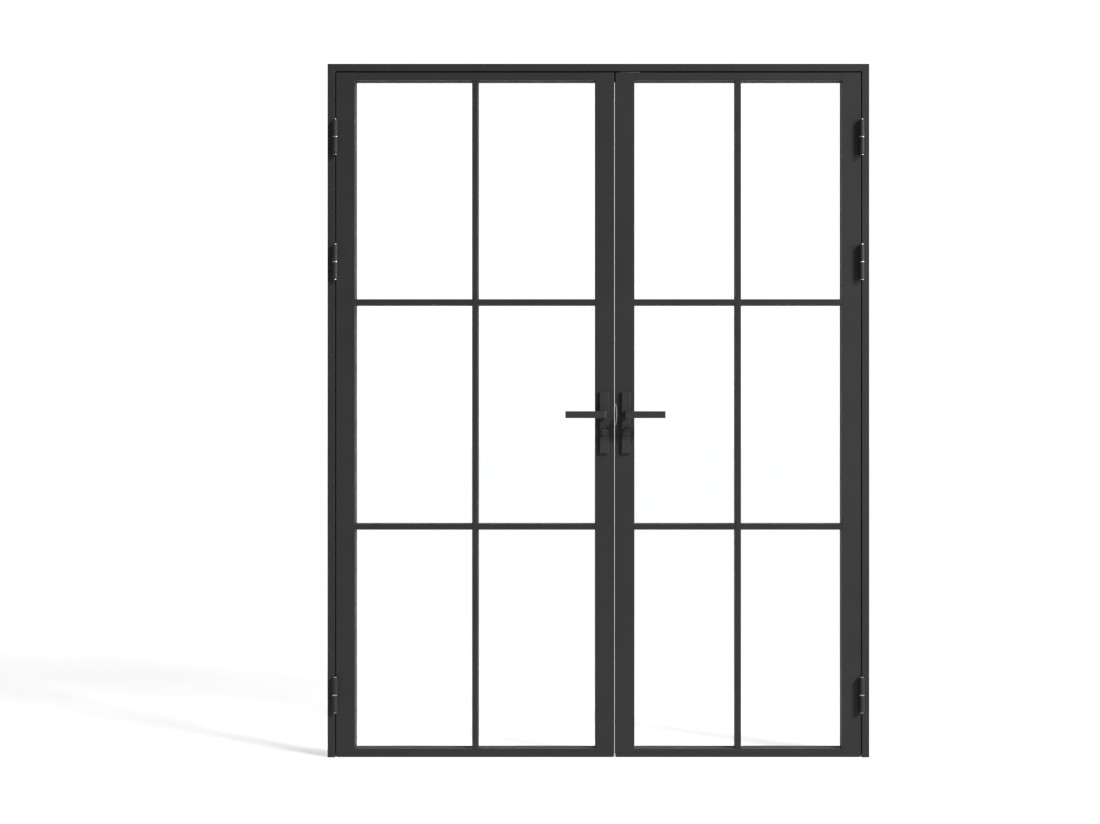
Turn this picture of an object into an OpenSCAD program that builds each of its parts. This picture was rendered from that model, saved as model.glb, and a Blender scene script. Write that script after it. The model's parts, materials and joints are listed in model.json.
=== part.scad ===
// Pair of glazed steel french doors in their own frame, without the wall.
// X runs across the doors, -Y is the side that the leaves open towards, Z is up.
// The origin is at floor level, midway across, in the middle of the leaves' thickness.
// A leaf is drawn with its hinge edge at x = 0 and its meeting edge at x = w, then set in place.

/* [Frame] */
// Width over the frame
frame_w = 1660; // [1400:10:2000]
// Height over the frame
frame_h = 2125; // [2000:5:2500]
// Face width of the jambs
jamb_face = 23; // [19:1:35]
// Face width of the head
head_face = 23; // [19:1:35]
// Width of the stop behind each leaf's edge
stop_w = 20; // [16:1:28]
// Depth of the stop
stop_d = 24; // [18:1:40]
// Wall of the hollow steel profiles
wall = 2; // [1.5:0.5:3]
// Radius of the profiles' corners
corner_r = 1.5; // [1:0.25:2.5]
// Radius of the anchor holes through the jambs
anchor_r = 5.5; // [3:0.5:7]
// Height of the lowest anchor hole
anchor_low = 250; // [100:10:400]
// Spacing of the outer pair of anchor holes
outer_spacing = 1600; // [1200:10:1600]
// Spacing of the inner pair of anchor holes
inner_spacing = 500; // [300:10:700]

/* [Leaves] */
// Width of the active leaf
active_w = 852; // [500:1:900]
// Depth of both leaves
leaf_d = 45; // [40:1:60]
// Face width of the stiles
stile_face = 58; // [56:1:90]
// Face width of the top and bottom rails
rail_face = 24; // [18:1:80]
// Face width of the glazing bars
bar_face = 18; // [16:1:40]
// Rows of panes
pane_rows = 3; // [2:1:5]

/* [Gaps] */
// Gap between each jamb and its leaf
side_gap = 3; // [2:0.5:5]
// Gap between the two leaves
meeting_gap = 4; // [3.5:0.5:6]
// Gap above the leaves
top_gap = 4; // [3.5:0.5:8]
// Gap below the leaves
floor_gap = 3; // [2:0.5:12]
// Gap between the leaves and the stop
stop_gap = 3; // [2:0.5:5]

/* [Glazing] */
// Thickness of the glass
glass_t = 8; // [6:1:14]
// Width of glass hidden by the profiles
glass_cover = 6; // [5:0.5:12]
// Thickness of each rubber gasket
gasket_t = 3; // [2:0.5:4]
// Space between the glass edge and the steel
glass_play = 1; // [0.5:0.25:2]
// Joint round each glazing bead
bead_joint = 0.2; // [0.1:0.1:0.5]

/* [Hinges] */
// Radius of the hinge barrel
barrel_r = 8; // [7:0.5:12]
// Length of the hinge barrel
barrel_l = 107; // [80:1:140]
// Radius of the hinge pin
pin_r = 5; // [3:0.5:6]
// Distance from the leaf's face to the hinge axis
hinge_out = 9; // [8.5:0.5:16]
// Thickness of the washer between the knuckles
washer_t = 2; // [1:0.5:4]
// Height of the lowest hinge
hinge_low_z = 193; // [120:1:400]
// Height of the middle hinge
hinge_mid_z = 1517; // [600:1:1600]
// Height of the highest hinge
hinge_top_z = 1899; // [1750:1:1900]

/* [Handles] */
// Height of the lever axis
lever_z = 1050; // [950:1:1150]
// Distance from the active leaf's edge to its lever axis
active_backset = 30; // [28:0.5:34]
// Distance from the passive leaf's edge to its lever axis
passive_backset = 33; // [28:0.5:34]
// Length of the lever from its axis
lever_l = 118; // [80:1:160]
// Height of the lever bar
lever_h = 21; // [16:1:28]
// Thickness of the lever bar
lever_t = 12; // [10:1:16]
// Distance from the leaf's face to the front of the lever
lever_out = 60; // [45:1:80]
// Width of the handle plates
plate_w = 28; // [27:0.5:36]
// Height of the handle plates
plate_h = 190; // [184:1:260]
// Thickness of the handle plates
plate_t = 8; // [7:0.5:12]
// Side of the square lever spindle
spindle_s = 8; // [7:0.5:9]
// Diameter of the turn pieces
turn_d = 21; // [16:1:26]
// Distance from the plate to the front of a turn piece
turn_out = 11; // [8:1:25]
// Distance from the lever axis down to the turn axis
turn_drop = 53; // [50:1:70]
// Side of the square turn spindle
turn_s = 5; // [4:0.5:6]

/* [Lock] */
// Thickness of the lock and gear cases
case_t = 16; // [14:1:20]
// Sheet of the cases
case_wall = 1.5; // [1:0.25:2]
// Depth of the lock case behind its face plate
case_deep = 46; // [44:0.5:47]
// Length of the edge plates
edge_plate_l = 195; // [190:1:260]
// Width of the edge plates
edge_plate_w = 20; // [18:1:24]
// Thickness of the latch bolt and the deadbolt
bolt_t = 12; // [8:0.5:12]
// Height of the latch bolt and the deadbolt
bolt_h = 24; // [16:1:26]
// Travel of the latch bolt
latch_travel = 11; // [8:0.5:12]
// Travel of the deadbolt
deadbolt_travel = 20; // [14:0.5:20]
// Radius of the shoot bolt rods
rod_r = 4; // [3:0.5:5]
// Distance from the passive lever axis to the rods
rod_offset = 11; // [10.5:0.25:11.5]

/* [Clearances] */
// Radial clearance of turning fits
running = 0.05; // [0.02:0.01:0.1]
// Clearance round sliding bolts
bolt_play = 0.4; // [0.2:0.1:0.6]
// Clearance between faces that pass each other
face_play = 0.3; // [0.2:0.1:0.5]

/* [Hidden] */
$fn = 64;
passive_w = frame_w - 2 * jamb_face - 2 * side_gap - meeting_gap - active_w;
leaf_edge_x = frame_w / 2 - jamb_face - side_gap;
leaf_z0 = floor_gap;
leaf_z1 = frame_h - head_face - top_gap;
leaf_h = leaf_z1 - leaf_z0;
face_y = leaf_d / 2;
tube_face = stile_face - glass_cover;
web_t = bar_face - 2 * glass_cover;
flange_y = -glass_t / 2 - gasket_t;
bead_y = glass_t / 2 + gasket_t;
stop_y = face_y + stop_gap;
frame_back_y = stop_y + stop_d;
hinge_y = -face_y - hinge_out;
hinge_zs = [hinge_low_z, hinge_mid_z, hinge_top_z];
anchor_zs = [
    anchor_low,
    anchor_low + (outer_spacing - inner_spacing) / 2,
    anchor_low + (outer_spacing + inner_spacing) / 2,
    anchor_low + outer_spacing
];
pane_h = (leaf_h - 2 * rail_face - (pane_rows - 1) * bar_face) / pane_rows;
turn_z = lever_z - turn_drop;
plate_z = lever_z - 24;
screw_inset = 12;
screw_zs = [plate_z - plate_h / 2 + screw_inset, plate_z + plate_h / 2 - screw_inset];
screw_r = 2.5;
screw_head_r = 5;
screw_head_l = 3;
deadbolt_z = turn_z - 31;
case_z0 = deadbolt_z - bolt_h / 2 - 4;
case_z1 = lever_z + 42;
gear_case_z0 = turn_z - 13;
bolt_set_back = 0.5;
gear_case_x = deadbolt_travel - meeting_gap - bolt_set_back + 1.5;
edge_plate_z = (case_z0 + case_z1) / 2;
edge_plate_zs = [edge_plate_z - edge_plate_l / 2, edge_plate_z + edge_plate_l / 2];
edge_screw_inset = 7;
edge_screw_r = 2;
barrel_round = 2;
pin_proud = 1.5;
lug_x = 8;
lug_h = 14;
journal_r = 10;
hub_r = 6.5;
pocket_r = 12;
pocket_d = plate_t - 3;
follower_r = 9;
cam_r = 5.5;
turn_journal_r = 5;
latch_l = latch_travel + 7;
deadbolt_l = deadbolt_travel + 18;
lip_h = 66;
lip_in = 3.5;
lip_t = 1.5;
lip_depth = face_y - edge_plate_w / 2;
lip_r = (lip_h * lip_h / 4 + lip_in * lip_in) / (2 * lip_in);
keeper = [60, 24, 2];
keeper_hole_r = rod_r + 1;
seal_w = 8;
seal_inset = 2;
rod_seal_gap = 1;
meeting_seal_t = 1.4;
rod_end_gap = 16;
active_x = active_w - active_backset;
passive_x = passive_w - passive_backset;
rod_x = passive_x - rod_offset;
steel = "dimgray";
hardware = "slategray";

// ---- Placing ----

// Sets a leaf's own drawing at the left of the frame
module on_active() {
    translate([-leaf_edge_x, 0, 0]) children();
}

// Sets a leaf's own drawing at the right of the frame, turned to face the other leaf
module on_passive() {
    translate([leaf_edge_x, 0, 0]) mirror([1, 0, 0]) children();
}

// A shape and its copy on the other face of the leaf
module both_faces() {
    children();
    mirror([0, 1, 0]) children();
}

// Box between two corners
module span(low, high) {
    translate(low) cube(high - low);
}

// Extrudes a profile drawn as (from the outer edge, depth) along X
module along_x(length) {
    rotate([90, 0, 90]) linear_extrude(length) mirror([1, -1]) children();
}

// Cylinder along Y between two depths
module rod_y(r, y0, y1) {
    translate([0, y1, 0]) rotate([90, 0, 0]) cylinder(h = y1 - y0, r = r);
}

// Square bar along Y between two depths
module square_y(side, y0, y1) {
    span([-side / 2, y0, -side / 2], [side / 2, y1, side / 2]);
}

// ---- Profiles ----

// Rectangle between two corners, with true arcs at the corners named by corners = [sx, sy]
module rounded(low, high, r, corners) {
    difference() {
        translate(low) square(high - low);
        for (c = corners) {
            at = [c[0] < 0 ? low[0] + r : high[0] - r, c[1] < 0 ? low[1] + r : high[1] - r];
            difference() {
                translate([c[0] < 0 ? low[0] : at[0], c[1] < 0 ? low[1] : at[1]]) square(r);
                translate(at) circle(r);
            }
        }
    }
}

// Outline of a stile or rail: a tube with the fixed glazing flange along its front
module edge_outline(face) {
    rounded([0, -face_y], [face - glass_cover, face_y], corner_r, [[-1, -1], [-1, 1]]);
    rounded([face / 2, -face_y], [face, flange_y], corner_r, [[1, -1]]);
}

// Hollow inside that outline
module edge_hollow(face) {
    tube = face - glass_cover;
    translate([wall, wall - face_y]) square([tube - 2 * wall, leaf_d - 2 * wall]);
    translate([face / 2, wall - face_y]) square([face / 2 - wall, flange_y + face_y - 2 * wall]);
}

// Outline of a jamb or the head: a box with the stop along its back
module frame_outline(face) {
    rounded([0, -face_y], [face, frame_back_y], corner_r, [[-1, -1], [1, -1]]);
    rounded([0, stop_y], [face + stop_w, frame_back_y], corner_r, [[1, -1], [1, 1]]);
}

// Hollow inside that outline
module frame_hollow(face) {
    translate([wall, wall - face_y]) square([face - 2 * wall, frame_back_y + face_y - 2 * wall]);
    translate([wall, stop_y + wall]) square([face + stop_w - 2 * wall, stop_d - 2 * wall]);
}

// ---- Frame ----

// Prism that cuts a jamb at its mitre, in the jamb's own x
module jamb_mitre() {
    reach_x = jamb_face + stop_w;
    reach_z = head_face + stop_w;
    translate([0, frame_back_y + 1, 0]) rotate([90, 0, 0])
        linear_extrude(frame_back_y + face_y + 2)
            polygon([[0, 0], [reach_x, 0], [reach_x, frame_h - reach_z], [0, frame_h]]);
}

// A jamb drawn with its outer edge at x = 0
module jamb() {
    color(steel) difference() {
        intersection() {
            linear_extrude(frame_h) difference() {
                frame_outline(jamb_face);
                frame_hollow(jamb_face);
            }
            jamb_mitre();
        }
        for (z = anchor_zs)
            translate([-1, (stop_y + frame_back_y) / 2, z]) rotate([0, 90, 0])
                cylinder(h = jamb_face + stop_w + 2, r = anchor_r);
    }
}

module left_jamb() {
    translate([-frame_w / 2, 0, 0]) jamb();
}

module right_jamb() {
    translate([frame_w / 2, 0, 0]) mirror([1, 0, 0]) jamb();
}

module head_member() {
    reach_x = jamb_face + stop_w;
    reach_z = head_face + stop_w;
    half = frame_w / 2;
    color(steel) difference() {
        intersection() {
            translate([-half, 0, frame_h]) mirror([0, 0, 1]) along_x(frame_w) difference() {
                frame_outline(head_face);
                frame_hollow(head_face);
            }
            translate([0, frame_back_y + 1, 0]) rotate([90, 0, 0])
                linear_extrude(frame_back_y + face_y + 2) polygon([
                    [-half, frame_h], [half, frame_h],
                    [half - reach_x, frame_h - reach_z], [reach_x - half, frame_h - reach_z]
                ]);
        }
        translate([leaf_edge_x - rod_x, 0, frame_h - head_face - 1])
            cylinder(h = wall + 2, r = keeper_hole_r);
    }
}

// Rubber strips on the stop, facing the backs of the leaves
module frame_seals() {
    seal_x = frame_w / 2 - jamb_face - stop_w / 2;
    seal_z = frame_h - head_face - stop_w / 2;
    color("black") {
        for (side = [-1, 1])
            span([side * seal_x - seal_w / 2, face_y + face_play, leaf_z0],
                [side * seal_x + seal_w / 2, stop_y, seal_z - seal_w / 2]);
        span([-seal_x - seal_w / 2, face_y + face_play, seal_z - seal_w / 2],
            [seal_x + seal_w / 2, stop_y, seal_z + seal_w / 2]);
    }
}

// Plate under the head that the top rod shoots through
module head_keeper() {
    color("silver") translate([leaf_edge_x - rod_x, 0, frame_h - head_face - keeper[2]])
        difference() {
            translate([-keeper[0] / 2, -keeper[1] / 2, 0]) cube(keeper);
            translate([0, 0, -1]) cylinder(h = keeper[2] + 2, r = keeper_hole_r);
        }
}

// ---- Hinges ----

// Half a hinge barrel from z = 0 down, with a rounded end and a bore for the pin
module knuckle(bore_r) {
    length = (barrel_l - washer_t) / 2;
    mirror([0, 0, 1]) rotate_extrude() difference() {
        rounded([0, 0], [barrel_r, length], barrel_round, [[1, 1]]);
        square([bore_r, length]);
    }
}

// Every hinge of one leaf: at_hinges() draws its children at each hinge axis, in leaf space
module at_hinges() {
    for (z = hinge_zs) translate([-side_gap / 2, hinge_y, z]) children();
}

// Lower knuckle and the tab that welds it to the jamb
module frame_knuckle() {
    length = (barrel_l - washer_t) / 2;
    translate([0, 0, -washer_t / 2]) {
        knuckle(pin_r);
        difference() {
            span([-barrel_r + 1, 0, 3 - length], [-side_gap / 2 - 0.5, hinge_out, 0]);
            translate([0, 0, -length]) cylinder(h = length + 1, r = barrel_r - 1);
        }
    }
}

// Upper knuckle and the tab that welds it to the leaf
module leaf_knuckle() {
    length = (barrel_l - washer_t) / 2;
    translate([0, 0, washer_t / 2]) mirror([0, 0, 1]) {
        knuckle(pin_r + running);
        difference() {
            span([side_gap / 2 + 0.5, 0, 3 - length], [barrel_r - 1, hinge_out, 0]);
            translate([0, 0, -length]) cylinder(h = length + 1, r = barrel_r - 1);
        }
    }
}

module frame_knuckles() {
    color(steel) {
        on_active() at_hinges() frame_knuckle();
        on_passive() at_hinges() frame_knuckle();
    }
}

module hinge_pin() {
    pin_l = barrel_l + 2 * pin_proud;
    translate([0, 0, -pin_l / 2]) cylinder(h = pin_l, r = pin_r);
}

module hinge_pins() {
    color("silver") {
        on_active() at_hinges() hinge_pin();
        on_passive() at_hinges() hinge_pin();
    }
}

module hinge_washer() {
    translate([0, 0, -washer_t / 2]) difference() {
        cylinder(h = washer_t, r = barrel_r);
        translate([0, 0, -1]) cylinder(h = washer_t + 2, r = pin_r + running);
    }
}

module hinge_washers() {
    color("silver") {
        on_active() at_hinges() hinge_washer();
        on_passive() at_hinges() hinge_washer();
    }
}

// ---- Leaf members, for a leaf of width w ----

module hinge_stile() {
    color(steel) translate([0, 0, leaf_z0]) linear_extrude(leaf_h) difference() {
        edge_outline(stile_face);
        edge_hollow(stile_face);
    }
}

// Holes through both faces of a meeting stile for the handles and their bolts
module handle_holes(x) {
    for (z = screw_zs) translate([x, 0, z]) rod_y(screw_r + 0.2, -leaf_d, leaf_d);
    translate([x, 0, lever_z]) rod_y(spindle_s * 0.8, -leaf_d, leaf_d);
    translate([x, 0, turn_z]) rod_y(turn_s * 0.8, -leaf_d, leaf_d);
}

// Tapped blocks inside the stile that the edge plate is screwed to
module edge_lugs(w) {
    for (z = [edge_plate_zs[0], edge_plate_zs[1] - lug_h])
        span([w - wall - lug_x, wall - face_y, z], [w - wall, face_y - wall, z + lug_h]);
}

function edge_screw_zs() =
    [edge_plate_zs[0] + edge_screw_inset, edge_plate_zs[1] - edge_screw_inset];

module meeting_stile(w, x) {
    half = edge_plate_w / 2 + face_play;
    color(steel) difference() {
        union() {
            translate([w, 0, leaf_z0]) mirror([1, 0, 0]) linear_extrude(leaf_h) difference() {
                edge_outline(stile_face);
                edge_hollow(stile_face);
            }
            edge_lugs(w);
        }
        span([w - wall, -half, edge_plate_zs[0] - face_play],
            [w + 1, half, edge_plate_zs[1] + face_play]);
        for (z = edge_screw_zs())
            translate([w - wall - lug_x - 1, 0, z]) rotate([0, 90, 0])
                cylinder(h = lug_x + 2, r = edge_screw_r + running);
        handle_holes(x);
    }
}

// Disc that dips lip_in into the passive leaf's meeting edge, for the strike's lip
module lip_disc(grow) {
    translate([passive_w - lip_in + lip_r, lever_z]) circle(lip_r + grow);
}

// Extrudes a drawing of (x, z) forwards from the edge plate's front edge
module front_corner(depth) {
    translate([0, -edge_plate_w / 2, 0]) rotate([90, 0, 0]) linear_extrude(depth) children();
}

// Both rails of a leaf, coped to the stiles' flanges
module rails(w) {
    color(steel) for (flip = [0, 1])
        translate([0, 0, flip ? leaf_z1 : leaf_z0]) mirror([0, 0, flip]) difference() {
            translate([tube_face, 0, 0]) along_x(w - 2 * tube_face) difference() {
                edge_outline(rail_face);
                edge_hollow(rail_face);
            }
            for (x = [tube_face, w - stile_face])
                span([x, -leaf_d, -1], [x + glass_cover, flange_y, rail_face + 1]);
        }
}

// Tee bar of a clear length along X, centred, with its web let in past the flanges at both ends
module tee_bar(clear) {
    web_l = clear + 2 * glass_cover;
    translate([-clear / 2, 0, -bar_face / 2]) along_x(clear)
        rounded([0, -face_y], [bar_face, flange_y], corner_r, [[-1, -1], [1, -1]]);
    span([-web_l / 2, flange_y, -web_t / 2], [web_l / 2, face_y, web_t / 2]);
}

module upright_bar(w) {
    clear = leaf_h - 2 * rail_face;
    color(steel) translate([w / 2, 0, (leaf_z0 + leaf_z1) / 2]) rotate([0, 90, 0]) tee_bar(clear);
}

function pane_w(w) = (w - 2 * stile_face - bar_face) / 2;
function pane_x(w, column) = stile_face + pane_w(w) / 2 + column * (pane_w(w) + bar_face);
function pane_z(row) = leaf_z0 + rail_face + pane_h / 2 + row * (pane_h + bar_face);

module cross_bars(w) {
    color(steel) for (column = [0, 1], row = [0:pane_rows - 2])
        translate([pane_x(w, column), 0, pane_z(row) + (pane_h + bar_face) / 2])
            tee_bar(pane_w(w));
}

// Draws its children at the centre of every pane
module at_panes(w) {
    for (column = [0, 1], row = [0:pane_rows - 1])
        translate([pane_x(w, column), 0, pane_z(row)]) children();
}

// Block centred on a pane, reaching out past its clear opening
module pane_block(w, out, y0, y1) {
    span([-pane_w(w) / 2 - out, y0, -pane_h / 2 - out], [pane_w(w) / 2 + out, y1, pane_h / 2 + out]);
}

module glass(w) {
    color("lightcyan", 0.35) at_panes(w)
        pane_block(w, glass_cover - glass_play, -glass_t / 2, glass_t / 2);
}

// Rubber ring on each face of every pane
module gaskets(w) {
    color("black") at_panes(w) both_faces() difference() {
        pane_block(w, glass_cover - glass_play, flange_y, -glass_t / 2);
        pane_block(w, 0, flange_y - 1, 0);
    }
}

// Four glazing beads behind each pane, with a hairline joint all round each of them
module beads(w) {
    side_x = pane_w(w) / 2;
    side_z = pane_h / 2;
    out = glass_cover - bead_joint;
    color(steel) at_panes(w) for (s = [-1, 1]) {
        translate([0, 0, s * (side_z + out / 2)])
            span([-side_x - out, bead_y, -out / 2], [side_x + out, face_y, out / 2]);
        translate([s * (side_x + out / 2), 0, 0])
            span([-out / 2, bead_y, bead_joint - side_z], [out / 2, face_y, side_z - bead_joint]);
    }
}

// Plates that close the ends of both stiles; rod_at is the x of the rods, or 0 for none
module end_caps(w, rod_at) {
    color(steel) for (z = [leaf_z0, leaf_z1 - wall]) translate([0, 0, z]) {
        linear_extrude(wall) edge_hollow(stile_face);
        difference() {
            translate([w, 0, 0]) mirror([1, 0, 0]) linear_extrude(wall) edge_hollow(stile_face);
            if (rod_at > 0) translate([rod_at, 0, -1]) cylinder(h = wall + 2, r = rod_r + running);
        }
    }
}

// Rubber strip under a leaf
module floor_strip(x0, x1) {
    span([x0, -seal_w / 2, face_play], [x1, seal_w / 2, leaf_z0]);
}

// Rubber strip up the meeting edge, behind the edge plate; the strips of both leaves nearly meet
module meeting_strip(w) {
    y1 = face_y - corner_r - 1;
    span([w, y1 - seal_w, leaf_z0 + seal_inset], [w + meeting_seal_t, y1, leaf_z1 - seal_inset]);
}

module leaf_knuckles() {
    color(steel) at_hinges() leaf_knuckle();
}

// ---- Lock parts ----

// Plate let into the meeting edge, from x = w - wall to x = w, with a hole for each bolt
module edge_plate(w) {
    color("silver") difference() {
        span([w - wall, -edge_plate_w / 2, edge_plate_zs[0]],
            [w, edge_plate_w / 2, edge_plate_zs[1]]);
        for (z = [lever_z, deadbolt_z])
            span([w - wall - 1, -bolt_t / 2 - bolt_play, z - bolt_h / 2 - bolt_play],
                [w + 1, bolt_t / 2 + bolt_play, z + bolt_h / 2 + bolt_play]);
        for (z = edge_screw_zs()) translate([w, 0, z]) rotate([0, -90, 0]) edge_screw_shape(running);
    }
}

// Countersunk screw with its head at z = 0, pointing up; grow widens it to make its hole
module edge_screw_shape(grow) {
    head_r = 3.6;
    cylinder(h = head_r - edge_screw_r, r1 = head_r + grow, r2 = edge_screw_r + grow);
    cylinder(h = wall + lug_x - 1, r = edge_screw_r + grow);
}

module edge_screws(w) {
    for (z = edge_screw_zs()) translate([w, 0, z]) rotate([0, -90, 0]) edge_screw_shape(0);
}

// Bolt that clamps both handle plates, head flush with the back plate
module plate_screw_shape(grow) {
    back = face_y + plate_t;
    rod_y(screw_r + grow, -face_y - plate_t + 3, back);
    translate([0, back, 0]) rotate([90, 0, 0])
        cylinder(h = screw_head_l, r1 = screw_head_r + grow, r2 = screw_r + grow);
}

module screws(w, x) {
    color("silver") {
        edge_screws(w);
        for (z = screw_zs) translate([x, 0, z]) plate_screw_shape(0);
    }
}

// Folded steel box from x0 to x1, open at its x1 end where open is true
module case_box(x0, x1, z0, z1, open) {
    inner_x1 = open ? x1 + 1 : x1 - case_wall;
    difference() {
        span([x0, -case_t / 2, z0], [x1, case_t / 2, z1]);
        span([x0 + case_wall, case_wall - case_t / 2, z0 + case_wall],
            [inner_x1, case_t / 2 - case_wall, z1 - case_wall]);
    }
}

module lock_case() {
    x1 = active_w - wall;
    color("gainsboro") difference() {
        case_box(x1 - case_deep, x1, case_z0, case_z1, true);
        translate([active_x, 0, lever_z]) rod_y(follower_r + running, -case_t, case_t);
        translate([active_x, 0, turn_z]) rod_y(cam_r + running, -case_t, case_t);
    }
}

module gear_case() {
    x0 = passive_w - tube_face + wall;
    color("gainsboro") difference() {
        case_box(x0, passive_w - gear_case_x, gear_case_z0, case_z1, false);
        translate([passive_x, 0, lever_z]) rod_y(follower_r + running, -case_t, case_t);
        translate([passive_x, 0, turn_z]) rod_y(cam_r + running, -case_t, case_t);
        translate([rod_x, 0, gear_case_z0 - 1])
            cylinder(h = case_z1 - gear_case_z0 + 2, r = rod_r + running);
    }
}

// Strike plate with a curved lip at the front corner that leads the latch in
module strike_plate() {
    edge_plate(passive_w);
    color("silver") front_corner(lip_depth) intersection() {
        translate([passive_w - lip_in - lip_t, lever_z - lip_h / 2]) square([lip_in + lip_t, lip_h]);
        difference() {
            lip_disc(lip_t);
            lip_disc(0);
        }
    }
}

// Handle plate on the front face, with chamfered edges, centred on x = 0
module plate_body() {
    bevel = 1;
    half = plate_w / 2;
    low = -face_y - plate_t;
    z0 = plate_z - plate_h / 2;
    z1 = plate_z + plate_h / 2;
    intersection() {
        translate([0, -face_y, 0]) rotate([90, 0, 0]) linear_extrude(plate_t)
            rounded([-half, z0], [half, z1], 2, [[-1, -1], [1, -1], [1, 1], [-1, 1]]);
        translate([0, 0, z0]) linear_extrude(plate_h) polygon([
            [-half, -face_y], [-half, low + bevel], [bevel - half, low],
            [half - bevel, low], [half, low + bevel], [half, -face_y]
        ]);
        rotate([90, 0, 90]) translate([0, 0, -half]) linear_extrude(plate_w) polygon([
            [-face_y, z0], [low + bevel, z0], [low, z0 + bevel],
            [low, z1 - bevel], [low + bevel, z1], [-face_y, z1]
        ]);
    }
}

// Bores and the spring pocket of a handle plate on the front face
module plate_bores() {
    translate([0, 0, lever_z]) {
        rod_y(journal_r + running, -face_y - plate_t - 1, -face_y);
        rod_y(pocket_r, -face_y - pocket_d, 1 - face_y);
    }
    translate([0, 0, turn_z]) rod_y(turn_journal_r + running, -face_y - plate_t - 1, 1 - face_y);
}

module front_plate(x) {
    color(hardware) translate([x, 0, 0]) difference() {
        plate_body();
        plate_bores();
        for (z = screw_zs) translate([0, 0, z]) plate_screw_shape(running);
    }
}

module back_plate(x) {
    color(hardware) translate([x, 0, 0]) difference() {
        mirror([0, 1, 0]) plate_body();
        mirror([0, 1, 0]) plate_bores();
        for (z = screw_zs) translate([0, 0, z]) plate_screw_shape(running);
    }
}

// Flat spiral spring round the hub, in the pocket behind each plate
module return_springs() {
    strip = 0.8;
    turns = 2;
    steps = 24;
    r0 = hub_r + face_play;
    pitch = (pocket_r - face_play - strip - r0) / turns;
    path = [for (i = [0:steps * turns]) r0 + pitch * i / steps];
    function at(i, r) = [r * cos(360 * i / steps), r * sin(360 * i / steps)];
    outline = concat(
        [for (i = [0:steps * turns]) at(i, path[i])],
        [for (i = [steps * turns:-1:0]) at(i, path[i] + strip)]
    );
    color("silver") translate([active_x, 0, lever_z]) both_faces()
        translate([0, -face_y - face_play, 0]) rotate([90, 0, 0]) linear_extrude(3) polygon(outline);
}

// Lever on the front face: a square bar bent at a right angle, on a round journal
module lever() {
    front = -face_y - lever_out;
    mid = front + lever_t / 2;
    root = -face_y - plate_t - face_play;
    difference() {
        union() {
            translate([0, 0, -lever_h / 2]) linear_extrude(lever_h) {
                translate([-lever_l, front]) square([lever_l, lever_t]);
                translate([0, mid]) circle(lever_t / 2);
                translate([-lever_t / 2, mid]) square([lever_t, root - mid]);
            }
            rod_y(journal_r, root, -face_y - pocket_d - face_play);
            rod_y(hub_r, root, -face_y - face_play);
        }
        square_y(spindle_s + 2 * running, -face_y - lever_out / 2, 0);
    }
}

module front_lever(x) {
    color(hardware) translate([x, 0, lever_z]) lever();
}

module back_lever(x) {
    color(hardware) translate([x, 0, lever_z]) mirror([0, 1, 0]) lever();
}

module spindle(x) {
    reach = face_y + lever_out / 2 - 1;
    color("silver") translate([x, 0, lever_z]) square_y(spindle_s, -reach, reach);
}

// Hub in a case that the spindle turns, with an arm on it; turned 90 degrees for the gear case
module follower(x, arm_reach, arm_angle) {
    color("goldenrod") translate([x, 0, lever_z]) difference() {
        union() {
            rod_y(follower_r, -case_t / 2, case_t / 2);
            rotate([0, arm_angle, 0]) span([-3, -2.5, 0], [3, 2.5, arm_reach]);
        }
        square_y(spindle_s + 2 * running, -case_t, case_t);
    }
}

// Turn pieces on both faces, each with its journal through the plate
module turn_pieces(x) {
    bevel = 1;
    root = -face_y - plate_t - face_play;
    color(hardware) translate([x, 0, turn_z]) both_faces() difference() {
        union() {
            rod_y(turn_journal_r, root - 1, -face_y - face_play);
            rod_y(turn_d / 2, root - turn_out + bevel, root);
            translate([0, root - turn_out + bevel, 0]) rotate([90, 0, 0])
                cylinder(h = bevel, r1 = turn_d / 2, r2 = turn_d / 2 - bevel);
        }
        square_y(turn_s + 2 * running, root - 5, 0);
    }
}

module turn_spindle(x) {
    reach = face_y + plate_t + face_play + 4;
    color("silver") translate([x, 0, turn_z]) square_y(turn_s, -reach, reach);
}

module turn_cam(x) {
    reach = cam_r + 1;
    color("goldenrod") translate([x, 0, turn_z]) difference() {
        union() {
            rod_y(cam_r, -case_t / 2, case_t / 2);
            span([-2, -2.5, 0], [2, 2.5, reach]);
        }
        square_y(turn_s + 2 * running, -case_t, case_t);
    }
}

// Latch bolt with its nose slanted on the side that meets the strike first
module latch_bolt() {
    tip = active_w - bolt_set_back;
    half = bolt_t / 2;
    color("silver") translate([0, 0, lever_z - bolt_h / 2]) linear_extrude(bolt_h) polygon([
        [tip - latch_l, -half], [tip, -half], [tip, 2 - half], [tip - bolt_t + 2, half],
        [tip - latch_l, half]
    ]);
}

module deadbolt() {
    tip = active_w - bolt_set_back;
    color("silver") span([tip - deadbolt_l, -bolt_t / 2, deadbolt_z - bolt_h / 2],
        [tip, bolt_t / 2, deadbolt_z + bolt_h / 2]);
}

module shoot_rod(z0, z1) {
    color("silver") translate([rod_x, 0, z0]) cylinder(h = z1 - z0, r = rod_r);
}

// ---- Active leaf ----

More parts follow.
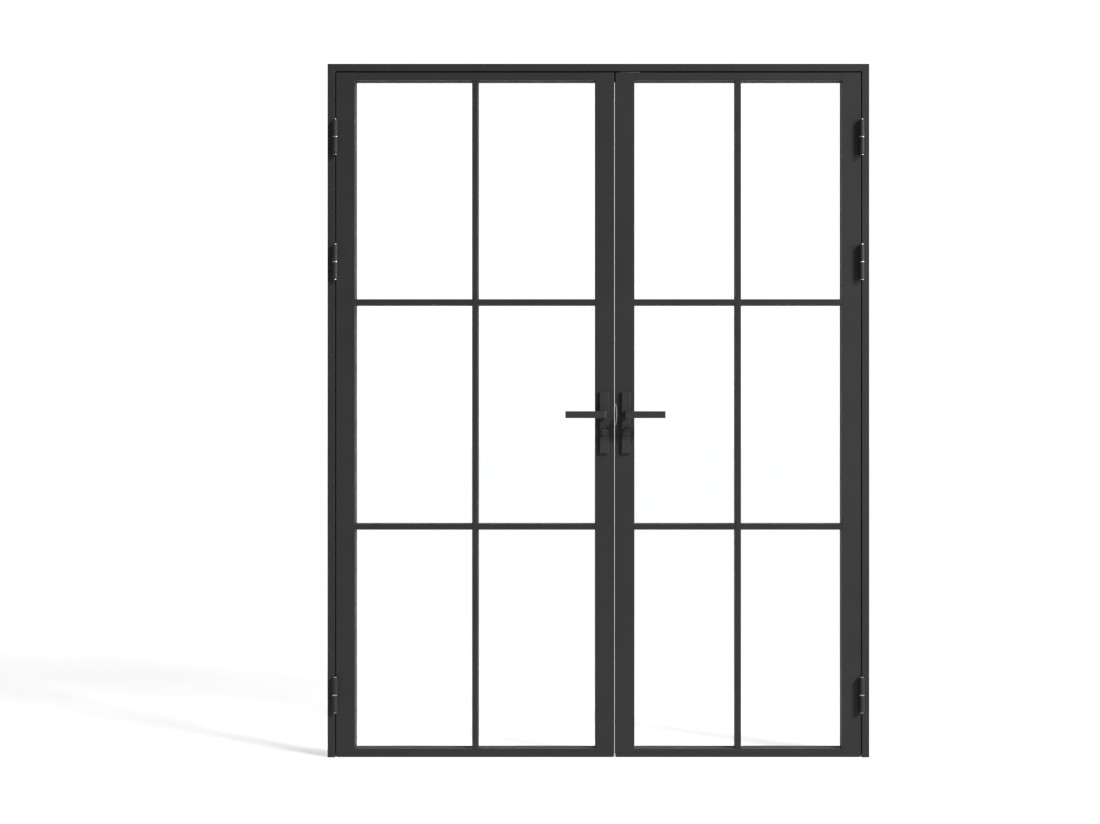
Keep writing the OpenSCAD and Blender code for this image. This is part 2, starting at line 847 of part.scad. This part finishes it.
module active_hinge_stile() { on_active() hinge_stile(); }
module active_meeting_stile() { on_active() meeting_stile(active_w, active_x); }
module active_rails() { on_active() rails(active_w); }
module active_upright_bar() { on_active() upright_bar(active_w); }
module active_cross_bars() { on_active() cross_bars(active_w); }
module active_glass() { on_active() glass(active_w); }
module active_gaskets() { on_active() gaskets(active_w); }
module active_beads() { on_active() beads(active_w); }
module active_end_caps() { on_active() end_caps(active_w, 0); }
module active_knuckles() { on_active() leaf_knuckles(); }
module active_edge_seals() {
    on_active() color("black") {
        floor_strip(seal_inset, active_w - seal_inset);
        meeting_strip(active_w);
    }
}
module active_lock_case() { on_active() lock_case(); }
module active_lock_face() { on_active() edge_plate(active_w); }
module active_screws() { on_active() screws(active_w, active_x); }
module active_front_plate() { on_active() front_plate(active_x); }
module active_back_plate() { on_active() back_plate(active_x); }
module active_return_springs() { on_active() return_springs(); }
module active_front_lever() { on_active() front_lever(active_x); }
module active_back_lever() { on_active() back_lever(active_x); }
module active_spindle() { on_active() spindle(active_x); }
module active_follower() { on_active() follower(active_x, follower_r + 4, 0); }
module active_turn_pieces() { on_active() turn_pieces(active_x); }
module active_turn_spindle() { on_active() turn_spindle(active_x); }
module active_turn_cam() { on_active() turn_cam(active_x); }
module active_latch_bolt() { on_active() latch_bolt(); }
module active_deadbolt() { on_active() deadbolt(); }

// ---- Passive leaf ----

module passive_hinge_stile() { on_passive() hinge_stile(); }
module passive_meeting_stile() {
    on_passive() color(steel) difference() {
        meeting_stile(passive_w, passive_x);
        front_corner(lip_depth + 1) lip_disc(lip_t + face_play);
    }
}
module passive_rails() { on_passive() rails(passive_w); }
module passive_upright_bar() { on_passive() upright_bar(passive_w); }
module passive_cross_bars() { on_passive() cross_bars(passive_w); }
module passive_glass() { on_passive() glass(passive_w); }
module passive_gaskets() { on_passive() gaskets(passive_w); }
module passive_beads() { on_passive() beads(passive_w); }
module passive_end_caps() { on_passive() end_caps(passive_w, rod_x); }
module passive_knuckles() { on_passive() leaf_knuckles(); }
module passive_edge_seals() {
    on_passive() color("black") {
        floor_strip(seal_inset, rod_x - rod_r - rod_seal_gap);
        floor_strip(rod_x + rod_r + rod_seal_gap, passive_w - seal_inset);
        meeting_strip(passive_w);
    }
}
module passive_gear_case() { on_passive() gear_case(); }
module passive_strike_plate() { on_passive() strike_plate(); }
module passive_screws() { on_passive() screws(passive_w, passive_x); }
module passive_front_plate() { on_passive() front_plate(passive_x); }
module passive_back_plate() { on_passive() back_plate(passive_x); }
module passive_front_lever() { on_passive() front_lever(passive_x); }
module passive_back_lever() { on_passive() back_lever(passive_x); }
module passive_spindle() { on_passive() spindle(passive_x); }
module passive_follower() { on_passive() follower(passive_x, follower_r + 4, -90); }
module passive_turn_pieces() { on_passive() turn_pieces(passive_x); }
module passive_turn_spindle() { on_passive() turn_spindle(passive_x); }
module passive_turn_cam() { on_passive() turn_cam(passive_x); }
module passive_top_rod() { on_passive() shoot_rod(lever_z + rod_end_gap, leaf_z1 - 1); }
module passive_bottom_rod() { on_passive() shoot_rod(leaf_z0 + 1, lever_z - rod_end_gap); }

left_jamb();
right_jamb();
head_member();
frame_seals();
frame_knuckles();
hinge_pins();
hinge_washers();
head_keeper();
active_hinge_stile();
active_meeting_stile();
active_rails();
active_upright_bar();
active_cross_bars();
active_glass();
active_gaskets();
active_beads();
active_end_caps();
active_knuckles();
active_edge_seals();
active_lock_case();
active_lock_face();
active_screws();
active_front_plate();
active_back_plate();
active_return_springs();
active_front_lever();
active_back_lever();
active_spindle();
active_follower();
active_turn_pieces();
active_turn_spindle();
active_turn_cam();
active_latch_bolt();
active_deadbolt();
passive_hinge_stile();
passive_meeting_stile();
passive_rails();
passive_upright_bar();
passive_cross_bars();
passive_glass();
passive_gaskets();
passive_beads();
passive_end_caps();
passive_knuckles();
passive_edge_seals();
passive_gear_case();
passive_strike_plate();
passive_screws();
passive_front_plate();
passive_back_plate();
passive_front_lever();
passive_back_lever();
passive_spindle();
passive_follower();
passive_turn_pieces();
passive_turn_spindle();
passive_turn_cam();
passive_top_rod();
passive_bottom_rod();
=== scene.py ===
# %% [markdown]
# # A pair of glazed steel french doors
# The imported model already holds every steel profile, pane, hinge and lock part at its real size.
# This script gives them their finishes, softens their edges as powder coat does, models the small
# pieces that carry fine detail, and sets up the floor, the lights and the camera.

# %% Load the frame
import bpy
import bmesh
import json
import math
from mathutils import Matrix, Vector


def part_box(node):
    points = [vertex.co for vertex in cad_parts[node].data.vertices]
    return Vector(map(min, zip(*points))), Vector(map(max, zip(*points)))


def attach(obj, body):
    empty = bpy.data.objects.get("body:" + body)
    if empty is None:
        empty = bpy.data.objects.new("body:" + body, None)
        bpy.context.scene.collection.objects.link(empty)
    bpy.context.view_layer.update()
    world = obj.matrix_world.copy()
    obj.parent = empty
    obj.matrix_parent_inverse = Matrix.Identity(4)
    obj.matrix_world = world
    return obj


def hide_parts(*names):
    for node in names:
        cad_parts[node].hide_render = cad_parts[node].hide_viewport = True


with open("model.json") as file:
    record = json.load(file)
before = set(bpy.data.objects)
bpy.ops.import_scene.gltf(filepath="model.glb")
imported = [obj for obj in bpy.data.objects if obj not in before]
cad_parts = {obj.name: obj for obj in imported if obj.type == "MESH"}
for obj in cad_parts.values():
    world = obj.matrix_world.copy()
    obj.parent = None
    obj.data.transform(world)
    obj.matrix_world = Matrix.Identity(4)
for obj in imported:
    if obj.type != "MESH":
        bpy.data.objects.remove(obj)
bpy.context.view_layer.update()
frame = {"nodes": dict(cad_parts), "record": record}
nodes = frame["nodes"]
MM = 0.001

# %% [markdown]
# ## Where things are
# Every place comes from the boxes of the steel parts, so the script follows the model if a size
# changes. The front face of the leaves is the plane that the viewer measures by.

# %% Places read from the model
frame_low, frame_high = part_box("head_member")
FRONT_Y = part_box("active_hinge_stile")[0].y
frame_w = frame_high.x - frame_low.x
print("front face at y =", round(FRONT_Y, 4), "frame", round(frame_w, 3), "x", round(frame_high.z, 3))

# %% [markdown]
# ## Shader helpers
# A material here is a small graph. These helpers keep each graph short: one makes the material and
# returns its Principled shader, one adds a node, and one reads Object coordinates, which are metres
# because every object sits at the origin.

# %% Shader helpers
def new_material(name):
    material = bpy.data.materials.new(name)
    material.use_nodes = True
    return material, material.node_tree.nodes["Principled BSDF"]


def add_node(material, kind, **values):
    node = material.node_tree.nodes.new(kind)
    for key, value in values.items():
        if hasattr(node, key):
            setattr(node, key, value)
        else:
            node.inputs[key.replace("_", " ")].default_value = value
    return node


def link(material, source, target):
    material.node_tree.links.new(source, target)


def noise_on_object(material, scale, detail=2.0, stretch=(1, 1, 1)):
    coordinates = add_node(material, "ShaderNodeTexCoord")
    mapping = add_node(material, "ShaderNodeMapping")
    mapping.inputs["Scale"].default_value = stretch
    link(material, coordinates.outputs["Object"], mapping.inputs["Vector"])
    noise = add_node(material, "ShaderNodeTexNoise", Scale=scale, Detail=detail)
    link(material, mapping.outputs["Vector"], noise.inputs["Vector"])
    return noise.outputs["Fac"]


def ranged(material, value, low, high):
    spread = add_node(material, "ShaderNodeMapRange", To_Min=low, To_Max=high)
    link(material, value, spread.inputs["Value"])
    return spread.outputs["Result"]


def two_tone(material, value, dark, light):
    mix = add_node(material, "ShaderNodeMix", data_type="RGBA")
    ends = {"A": (*dark, 1), "B": (*light, 1)}
    for socket in mix.inputs:
        if socket.type == "RGBA":
            socket.default_value = ends[socket.name]
    link(material, value, mix.inputs["Factor"])
    return [out for out in mix.outputs if out.type == "RGBA"][0]


def bumped(material, value, strength, distance, under=None):
    bump = add_node(material, "ShaderNodeBump", Strength=strength, Distance=distance)
    link(material, value, bump.inputs["Height"])
    if under is not None:
        link(material, under, bump.inputs["Normal"])
    return bump.outputs["Normal"]

# %% [markdown]
# ## Powder coat
# Steel doors are sprayed with a dry powder that melts into a satin skin. It is never dead flat:
# it has a soft orange peel about a millimetre wide, a fine grain inside that, and a faint cloudiness
# in its gloss. Noise at three sizes drives the bump, the roughness and a very small colour change.

# %% Powder coat
COAT_GLINT = 0.13


def powder_coat(name, shade, roughness):
    material, shader = new_material(name)
    cloud = noise_on_object(material, 9.0, 3.0)
    peel = noise_on_object(material, 700.0, 1.0)
    grain = noise_on_object(material, 3200.0, 2.0)
    dark = [c * 0.9 for c in shade]
    light = [c * 1.12 for c in shade]
    link(material, two_tone(material, cloud, dark, light), shader.inputs["Base Color"])
    link(material, ranged(material, cloud, roughness - 0.05, roughness + 0.05),
         shader.inputs["Roughness"])
    skin = bumped(material, peel, 0.12, 0.12 * MM)
    link(material, bumped(material, grain, 0.10, 0.05 * MM, skin), shader.inputs["Normal"])
    shader.inputs["Specular IOR Level"].default_value = COAT_GLINT
    return material


coat = powder_coat("satin_powder_coat", (0.019, 0.019, 0.0195), 0.46)
handle_coat = powder_coat("handle_powder_coat", (0.023, 0.023, 0.0235), 0.38)
print("powder coats:", coat.name, handle_coat.name)

# %% [markdown]
# ## Bare metals
# Washers, pins, bolts and the edge plates are bare steel, brushed along their length. Stretching a
# fine noise in one direction draws the scratches, which vary the roughness and the bump. The hubs
# inside the cases are dull brass. The strike is bright steel on its curved lip, the part that reaches
# forwards; behind it, painted shade turns it near black in the slot, so depth alone separates the
# two.

# %% Bare metals
def brushed_metal(name, shade, roughness, stretch):
    material, shader = new_material(name)
    scratches = noise_on_object(material, 1400.0, 3.0, stretch)
    cloud = noise_on_object(material, 60.0, 2.0)
    dark = [c * 0.82 for c in shade]
    link(material, two_tone(material, cloud, dark, shade), shader.inputs["Base Color"])
    link(material, ranged(material, scratches, roughness - 0.1, roughness + 0.12),
         shader.inputs["Roughness"])
    link(material, bumped(material, scratches, 0.18, 0.04 * MM), shader.inputs["Normal"])
    shader.inputs["Metallic"].default_value = 1.0
    return material


# Painted shade: the strike's colour runs from bright steel at the lip to near black behind it, for
# the shade in the slot.
def strike_with_painted_shade(name, lip_y, blend):
    material, shader = new_material(name)
    coordinates = add_node(material, "ShaderNodeTexCoord")
    axes = add_node(material, "ShaderNodeSeparateXYZ")
    link(material, coordinates.outputs["Object"], axes.inputs["Vector"])
    # Painted shade ramp: the deeper behind the lip, the darker the colour.
    painted_shade_ramp = add_node(material, "ShaderNodeMapRange", From_Min=lip_y, From_Max=lip_y - blend)
    link(material, axes.outputs["Y"], painted_shade_ramp.inputs["Value"])
    tone = two_tone(material, painted_shade_ramp.outputs["Result"], (0.03, 0.03, 0.03), (0.66, 0.65, 0.63))
    link(material, tone, shader.inputs["Base Color"])
    scratches = noise_on_object(material, 1400.0, 3.0, (1, 1, 0.04))
    link(material, ranged(material, scratches, 0.3, 0.5), shader.inputs["Roughness"])
    link(material, bumped(material, scratches, 0.15, 0.04 * MM), shader.inputs["Normal"])
    shader.inputs["Metallic"].default_value = 1.0
    return material


bright_steel = brushed_metal("brushed_steel", (0.62, 0.61, 0.59), 0.30, (1, 1, 0.04))
brass = brushed_metal("dull_brass", (0.62, 0.46, 0.20), 0.40, (1, 0.1, 1))
strike_steel = strike_with_painted_shade("strike_steel_painted_shade", -10 * MM, 3 * MM)
print("metals:", bright_steel.name, brass.name, strike_steel.name)

# %% [markdown]
# ## Rubber and glass
# The seals are black EPDM, matt with a faint bloom. The glass is low-iron float: fully
# transmissive, almost colourless and with a very slight unevenness in its polish.

# %% Rubber and glass
def rubber_material():
    material, shader = new_material("black_rubber")
    bloom = noise_on_object(material, 45.0, 4.0)
    pores = noise_on_object(material, 1800.0, 2.0)
    link(material, two_tone(material, bloom, (0.012, 0.012, 0.012), (0.022, 0.022, 0.022)),
         shader.inputs["Base Color"])
    link(material, ranged(material, bloom, 0.68, 0.85), shader.inputs["Roughness"])
    link(material, bumped(material, pores, 0.25, 0.06 * MM), shader.inputs["Normal"])
    return material


def glass_material():
    material, shader = new_material("clear_float_glass")
    wave = noise_on_object(material, 5.0, 1.0)
    link(material, ranged(material, wave, 0.0, 0.012), shader.inputs["Roughness"])
    shader.inputs["Base Color"].default_value = (0.985, 0.995, 0.99, 1)
    shader.inputs["Transmission Weight"].default_value = 1.0
    shader.inputs["IOR"].default_value = 1.5
    return material


rubber = rubber_material()
glass = glass_material()
print("soft and clear:", rubber.name, glass.name)

# %% [markdown]
# ## Giving each part its finish
# The record says which slot each node takes its finish from, so one table from slot to material
# dresses the whole model. The panes throw no shadow of their own: real clear glass hardly does.

# %% Finishes by slot
FINISHES = {
    "dark_steel": coat,
    "dark_handle": handle_coat,
    "bright_steel": bright_steel,
    "lock_brass": brass,
    "black_rubber": rubber,
    "clear_glass": glass,
}
for subpart in frame["record"]["subparts"]:
    piece = nodes[subpart["node"]]
    piece.data.materials.clear()
    piece.data.materials.append(FINISHES[subpart["material_slot"]])
    if subpart["material_slot"] == "clear_glass":
        piece.visible_shadow = False
# The strike takes the material with painted shade behind its lip.
nodes["passive_strike_plate"].data.materials[0] = strike_steel

# %% [markdown]
# ## Soft edges
# No rolled or coated edge is perfectly sharp, and it is the thin line of light along an edge that
# makes steel look real. The model's meshes are loose triangles, so each gets four modifiers: Weld
# closes the mesh, Decimate dissolves the triangles back into flat faces, Bevel rounds the edges that
# turn more than 35 degrees, and Weighted Normal keeps the flat faces flat in the light.

# %% Edge softening
WELD_REACH = 0.01 * MM
FLAT_WITHIN = math.radians(0.5)
SOFT_ABOVE = math.radians(35)


def soften(piece, width, segments=2):
    weld = piece.modifiers.new("close", "WELD")
    weld.merge_threshold = WELD_REACH
    flat = piece.modifiers.new("flat_faces", "DECIMATE")
    flat.decimate_type = "DISSOLVE"
    flat.angle_limit = FLAT_WITHIN
    bevel = piece.modifiers.new("soft_edges", "BEVEL")
    bevel.width = width
    bevel.segments = segments
    bevel.limit_method = "ANGLE"
    bevel.angle_limit = SOFT_ABOVE
    bevel.use_clamp_overlap = True
    even = piece.modifiers.new("even_light", "WEIGHTED_NORMAL")
    even.keep_sharp = False
    for face in piece.data.polygons:
        face.use_smooth = True


EDGE = {
    "hinge_stile": 0.5, "meeting_stile": 0.5, "rails": 0.5, "upright_bar": 0.6,
    "cross_bars": 0.6, "beads": 0.7, "front_plate": 0.4, "back_plate": 0.4,
    "front_lever": 0.8, "back_lever": 0.8, "turn_pieces": 0.5, "edge_seals": 0.4,
}
for name, piece in nodes.items():
    kind = name.split("_", 1)[1]
    if kind in EDGE:
        soften(piece, EDGE[kind] * MM)
for name, width in (("left_jamb", 0.6), ("right_jamb", 0.6), ("head_member", 0.6),
                    ("frame_seals", 1.1), ("head_keeper", 0.4)):
    soften(nodes[name], width * MM, 3)
print("softened", sum(1 for piece in nodes.values() if piece.modifiers), "nodes")

# %% [markdown]
# ## Small helpers for new pieces
# Every new piece starts in a bmesh, is shaped with its operators, and ends as an object that rides
# on the body that carries it. Its mesh holds real places, so the object itself stays at the origin.

# %% Helpers for new pieces
def finish_piece(name, shape, material, body, swaps=()):
    bmesh.ops.remove_doubles(shape, verts=shape.verts[:], dist=0.001 * MM)
    bmesh.ops.recalc_face_normals(shape, faces=shape.faces[:])
    mesh = bpy.data.meshes.new(name)
    shape.to_mesh(mesh)
    shape.free()
    mesh.materials.append(material)
    mesh.shade_smooth()
    piece = bpy.data.objects.new(name, mesh)
    bpy.context.scene.collection.objects.link(piece)
    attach(piece, body)
    if swaps:
        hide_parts(*swaps)
    return piece


def keep_edges_crisp(piece, degrees=30):
    mesh = bmesh.new()
    mesh.from_mesh(piece.data)
    for edge in mesh.edges:
        edge.smooth = edge.calc_face_angle(0) < math.radians(degrees)
    mesh.to_mesh(piece.data)
    mesh.free()


LEAVES = ("active", "passive")

# %% [markdown]
# ## Countersunk screws with a hexagon socket
# The plain screws of the model get real heads. Each starts as two rings, a round rim and a hexagon
# inside it. Bridging them makes the top of the head, the hexagon is pulled down for the socket, and
# the rim is drawn in and down for the cone and the shank. One screw points up; a matrix sets it.

# %% Screws
RIM_SIDES = 24
SOCKET_DEPTH = 0.8


def add_screw(shape, place, head_r, shank_r, head_l, length, socket_r):
    rim = bmesh.ops.create_circle(shape, segments=RIM_SIDES, radius=head_r)["verts"]
    socket = bmesh.ops.create_circle(shape, segments=6, radius=socket_r)["verts"]
    rim_edges = list({edge for vert in rim for edge in vert.link_edges})
    socket_edges = list({edge for vert in socket for edge in vert.link_edges})
    made = set(rim + socket)
    bmesh.ops.bridge_loops(shape, edges=rim_edges + socket_edges)

    def pulled(edges, shift, ratio=1.0):
        grown = bmesh.ops.extrude_edge_only(shape, edges=edges)["geom"]
        verts = [item for item in grown if isinstance(item, bmesh.types.BMVert)]
        bmesh.ops.scale(shape, verts=verts, vec=(ratio, ratio, 1))
        bmesh.ops.translate(shape, verts=verts, vec=(0, 0, shift))
        made.update(verts)
        return [item for item in grown if isinstance(item, bmesh.types.BMEdge)]

    floor_edges = pulled(socket_edges, -head_l * SOCKET_DEPTH)
    neck_edges = pulled(rim_edges, -head_l, shank_r / head_r)
    tip_edges = pulled(neck_edges, head_l - length)
    bmesh.ops.contextual_create(shape, geom=floor_edges)
    bmesh.ops.contextual_create(shape, geom=tip_edges)
    bmesh.ops.transform(shape, matrix=place, verts=list(made))


PLATE_SCREW = dict(head_r=5 * MM, shank_r=2.5 * MM, head_l=3 * MM, socket_r=1.9 * MM)
PLATE_SCREW_INSET = 12 * MM
EDGE_SCREW = dict(head_r=3.6 * MM, shank_r=2 * MM, head_l=1.6 * MM, length=9 * MM, socket_r=1.4 * MM)
EDGE_SCREW_INSET = 7 * MM
TO_BACK = Matrix.Rotation(math.radians(-90), 4, "X")
TO_SIDE = {way: Matrix.Rotation(math.radians(90 * way), 4, "Y") for way in (-1, 1)}
for leaf in LEAVES:
    shape = bmesh.new()
    plate_low, plate_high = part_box(leaf + "_back_plate")
    face_low, face_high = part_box(leaf + ("_lock_face" if leaf == "active" else "_strike_plate"))
    screws_low, screws_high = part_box(leaf + "_screws")
    lever_x = (plate_low.x + plate_high.x) / 2
    outward = 1 if leaf == "active" else -1
    edge_x = face_high.x if leaf == "active" else face_low.x
    for z in (plate_low.z + PLATE_SCREW_INSET, plate_high.z - PLATE_SCREW_INSET):
        place = Matrix.Translation((lever_x, screws_high.y, z)) @ TO_BACK
        add_screw(shape, place, length=screws_high.y - screws_low.y, **PLATE_SCREW)
    for z in (face_low.z + EDGE_SCREW_INSET, face_high.z - EDGE_SCREW_INSET):
        place = Matrix.Translation((edge_x, 0, z)) @ TO_SIDE[outward]
        add_screw(shape, place, **EDGE_SCREW)
    screws = finish_piece(leaf + "_socket_screws", shape, bright_steel,
                          leaf + "_leaf", [leaf + "_screws"])
    keep_edges_crisp(screws)
    print(screws.name, len(screws.data.polygons), "faces")

# %% [markdown]
# ## Grub screws under the levers
# A lever is held on its square spindle by a small headless screw in the underside of its neck. It is
# the same screw as above with a rim as wide as its shank, turned over and set just proud.

# %% Grub screws
GRUB = dict(head_r=2.5 * MM, shank_r=2.5 * MM, head_l=2 * MM, length=5 * MM, socket_r=1.2 * MM)
GRUB_PROUD = 0.15 * MM
NECK_DEPTH = 22 * MM
TO_FLOOR = Matrix.Rotation(math.radians(180), 4, "X")
for leaf in LEAVES:
    shape = bmesh.new()
    plate_low, plate_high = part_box(leaf + "_front_plate")
    for side, face_y in (("front", plate_low.y), ("back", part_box(leaf + "_back_plate")[1].y)):
        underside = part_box(leaf + "_" + side + "_lever")[0].z
        x = (plate_low.x + plate_high.x) / 2
        y = face_y + (NECK_DEPTH if side == "back" else -NECK_DEPTH)
        add_screw(shape, Matrix.Translation((x, y, underside - GRUB_PROUD)) @ TO_FLOOR, **GRUB)
    grubs = finish_piece(leaf + "_grub_screws", shape, bright_steel, leaf + "_lever")
    keep_edges_crisp(grubs)
    print(grubs.name, len(grubs.data.polygons), "faces")

# %% [markdown]
# ## Gasket lips
# Each pane is bedded in rubber, and a thin lip of it shows all round on both faces, between the glass
# and the steel. One lip starts as a square face scaled to the opening. Insetting it makes a narrow
# border (an open edge is only inset with use_boundary), the middle is deleted, the border is pulled
# up off the glass, and its free edge is bevelled round. The openings come from the boxes of the bars
# and the glass.

# %% Gasket lips
LIP_W = 0.9 * MM
LIP_H = 1.8 * MM
LIP_ROUND = 0.7
GLASS_HIDDEN = 5 * MM


def add_lip(shape, low, high, y, outward):
    size = Vector((high[0] - low[0], high[1] - low[1]))
    place = (Matrix.Translation(((low[0] + high[0]) / 2, y, (low[1] + high[1]) / 2))
             @ Matrix.Rotation(math.radians(90), 4, "X") @ Matrix.Diagonal((*size, 1, 1)))
    square = bmesh.ops.create_grid(shape, x_segments=1, y_segments=1, size=0.5, matrix=place)["verts"]
    middle = [face for face in shape.faces if all(vert in square for vert in face.verts)]
    border = bmesh.ops.inset_region(shape, faces=middle, thickness=LIP_W, use_boundary=True,
                                    use_even_offset=True)["faces"]
    bmesh.ops.delete(shape, geom=middle, context="FACES")
    raised = bmesh.ops.extrude_face_region(shape, geom=border)["geom"]
    verts = [item for item in raised if isinstance(item, bmesh.types.BMVert)]
    bmesh.ops.translate(shape, verts=verts, vec=(0, outward * LIP_H, 0))
    centre = place.translation
    free = [item for item in raised if isinstance(item, bmesh.types.BMEdge)
            and all(abs(vert.co.x - centre.x) < size.x / 2 - LIP_W / 2
                    and abs(vert.co.z - centre.z) < size.y / 2 - LIP_W / 2 for vert in item.verts)]
    bmesh.ops.bevel(shape, geom=free, offset=LIP_W * LIP_ROUND, offset_type="OFFSET", segments=3,
                    profile=0.5, affect="EDGES", material=-1)


for leaf in LEAVES:
    shape = bmesh.new()
    glass_low, glass_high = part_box(leaf + "_glass")
    bar_low, bar_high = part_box(leaf + "_upright_bar")
    rows_low, rows_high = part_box(leaf + "_cross_bars")
    bar_w = bar_high.x - bar_low.x
    columns = [(glass_low.x + GLASS_HIDDEN, bar_low.x), (bar_high.x, glass_high.x - GLASS_HIDDEN)]
    rows = [(glass_low.z + GLASS_HIDDEN, rows_low.z), (rows_low.z + bar_w, rows_high.z - bar_w),
            (rows_high.z, glass_high.z - GLASS_HIDDEN)]
    for left, right in columns:
        for bottom, top in rows:
            add_lip(shape, (left, bottom), (right, top), glass_low.y, -1)
            add_lip(shape, (left, bottom), (right, top), glass_high.y, 1)
    lips = finish_piece(leaf + "_gasket_lips", shape, rubber, leaf + "_leaf")
    keep_edges_crisp(lips, 50)
    print(lips.name, len(lips.data.polygons), "faces")

# %% [markdown]
# ## Sweep under each leaf
# A soft black rubber lip hangs under the front edge of a leaf and closes the view under the door. It
# is also painted shade: its dark fills the gap under the door, where shade falls that the glowing
# floor does not show. It starts as a cube scaled to a long thin bar, and its lower edges are bevelled
# into a rounded tongue.

# %% Floor sweeps with painted shade
SWEEP_SHADE_T = 4 * MM
SWEEP_SHADE_ROUND = 1.2 * MM
SWEEP_SHADE_SET_BACK = 2 * MM
FLOOR_PLAY = 0.4 * MM
for leaf in LEAVES:
    rail_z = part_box(leaf + "_rails")[0].z
    ends = [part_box(leaf + part) for part in ("_hinge_stile", "_meeting_stile")]
    left = min(box[0].x for box in ends) + SWEEP_SHADE_SET_BACK
    right = max(box[1].x for box in ends) - SWEEP_SHADE_SET_BACK
    centre = ((left + right) / 2, FRONT_Y + SWEEP_SHADE_SET_BACK + SWEEP_SHADE_T / 2, (FLOOR_PLAY + rail_z) / 2)
    size = (right - left, SWEEP_SHADE_T, rail_z - FLOOR_PLAY)
    place = Matrix.Translation(centre) @ Matrix.Diagonal((*size, 1))
    shape = bmesh.new()
    bmesh.ops.create_cube(shape, size=1, matrix=place)
    lower = [edge for edge in shape.edges if all(vert.co.z < centre[2] for vert in edge.verts)]
    bmesh.ops.bevel(shape, geom=lower, offset=SWEEP_SHADE_ROUND, offset_type="OFFSET", segments=3,
                    profile=0.5, affect="EDGES", material=-1)
    # Painted shade: the dark strip stands where shade falls under the leaf.
    sweep_with_shade = finish_piece(leaf + "_floor_sweep_shade", shape, rubber, leaf + "_leaf")
    keep_edges_crisp(sweep_with_shade, 50)
    print(sweep_with_shade.name, round(right - left, 3), "m long")

# %% [markdown]
# ## Floor
# The doors stand on a plain white studio floor. It glows a little by itself, so that it stays nearly
# white where the doors' own faint shadow falls, as a floor lit from many sides does.

# %% Floor
FLOOR_HALF = 40.0
FLOOR_GREY = 0.3
FLOOR_GLOW = 0.66
floor_mesh = bpy.data.meshes.new("studio_floor")
shape = bmesh.new()
bmesh.ops.create_grid(shape, x_segments=1, y_segments=1, size=FLOOR_HALF)
shape.to_mesh(floor_mesh)
shape.free()
floor = bpy.data.objects.new("studio_floor", floor_mesh)
bpy.context.scene.collection.objects.link(floor)
floor_paint, floor_shader = new_material("studio_white")
floor_shader.inputs["Base Color"].default_value = (FLOOR_GREY, FLOOR_GREY, FLOOR_GREY, 1)
floor_shader.inputs["Roughness"].default_value = 0.9
floor_shader.inputs["Specular IOR Level"].default_value = 0.1
floor_shader.inputs["Emission Color"].default_value = (1, 1, 1, 1)
floor_shader.inputs["Emission Strength"].default_value = FLOOR_GLOW
floor_mesh.materials.append(floor_paint)
print("floor", floor.dimensions.x, "m wide")

# %% [markdown]
# ## Light
# The backdrop is pure white to the eye and through the glass, but it lights the steel with under a
# fifth of that strength, or the dark coat would wash out. A soft sun from the front right throws the
# faint shadow behind the doors, and a softbox on the right picks out the edges that face it.

# %% Light
SEEN = 1.12
FILL = 0.2
SUN_WAY = (-1.7, 1.2, -1.45)
SUN_ENERGY = 5.2
SOFTBOX_AT = (3.4, -1.6, 1.9)
SOFTBOX_WAY = (-3.4, 1.6, -0.8)
SOFTBOX_WATTS = 120.0
world = bpy.data.worlds.new("studio")
bpy.context.scene.world = world
world.use_nodes = True
sky = world.node_tree
path = sky.nodes.new("ShaderNodeLightPath")
seen = sky.nodes.new("ShaderNodeMath")
seen.operation = "MAXIMUM"
sky.links.new(path.outputs["Is Camera Ray"], seen.inputs[0])
sky.links.new(path.outputs["Is Transmission Ray"], seen.inputs[1])
strength = sky.nodes.new("ShaderNodeMapRange")
strength.inputs["To Min"].default_value = FILL
strength.inputs["To Max"].default_value = SEEN
sky.links.new(seen.outputs["Value"], strength.inputs["Value"])
sky.nodes["Background"].inputs["Color"].default_value = (1, 1, 1, 1)
sky.links.new(strength.outputs["Result"], sky.nodes["Background"].inputs["Strength"])


def lamp_aimed(name, kind, at, towards, energy):
    lamp = bpy.data.lights.new(name, kind)
    lamp.energy = energy
    item = bpy.data.objects.new(name, lamp)
    item.location = at
    item.rotation_euler = Vector(towards).to_track_quat("-Z", "Y").to_euler()
    bpy.context.scene.collection.objects.link(item)
    return lamp


key = lamp_aimed("key_sun", "SUN", (0, 0, 4), SUN_WAY, SUN_ENERGY)
key.angle = math.radians(11)
softbox = lamp_aimed("right_softbox", "AREA", SOFTBOX_AT, SOFTBOX_WAY, SOFTBOX_WATTS)
softbox.size = 1.4
print("lights:", key.energy, softbox.energy)

# %% [markdown]
# ## Camera
# The camera looks straight at the doors from the height of the levers, so upright lines stay upright.
# A small sideways shift of the lens places the doors right of the middle without turning the camera.

# %% Camera
LENS = 50.0
SENSOR = 36.0
SHIFT = -0.044
DISTANCE = 4.68
EYE_Z = 1.058
lens = bpy.data.cameras.new("camera")
lens.lens = LENS
lens.sensor_width = SENSOR
lens.shift_x = SHIFT
camera = bpy.data.objects.new("camera", lens)
camera.location = (0, FRONT_Y - DISTANCE, EYE_Z)
camera.rotation_euler = (math.radians(90), 0, 0)
bpy.context.scene.collection.objects.link(camera)
bpy.context.scene.camera = camera
bpy.context.scene.view_settings.view_transform = "Standard"
print("camera at", tuple(round(v, 3) for v in camera.location))
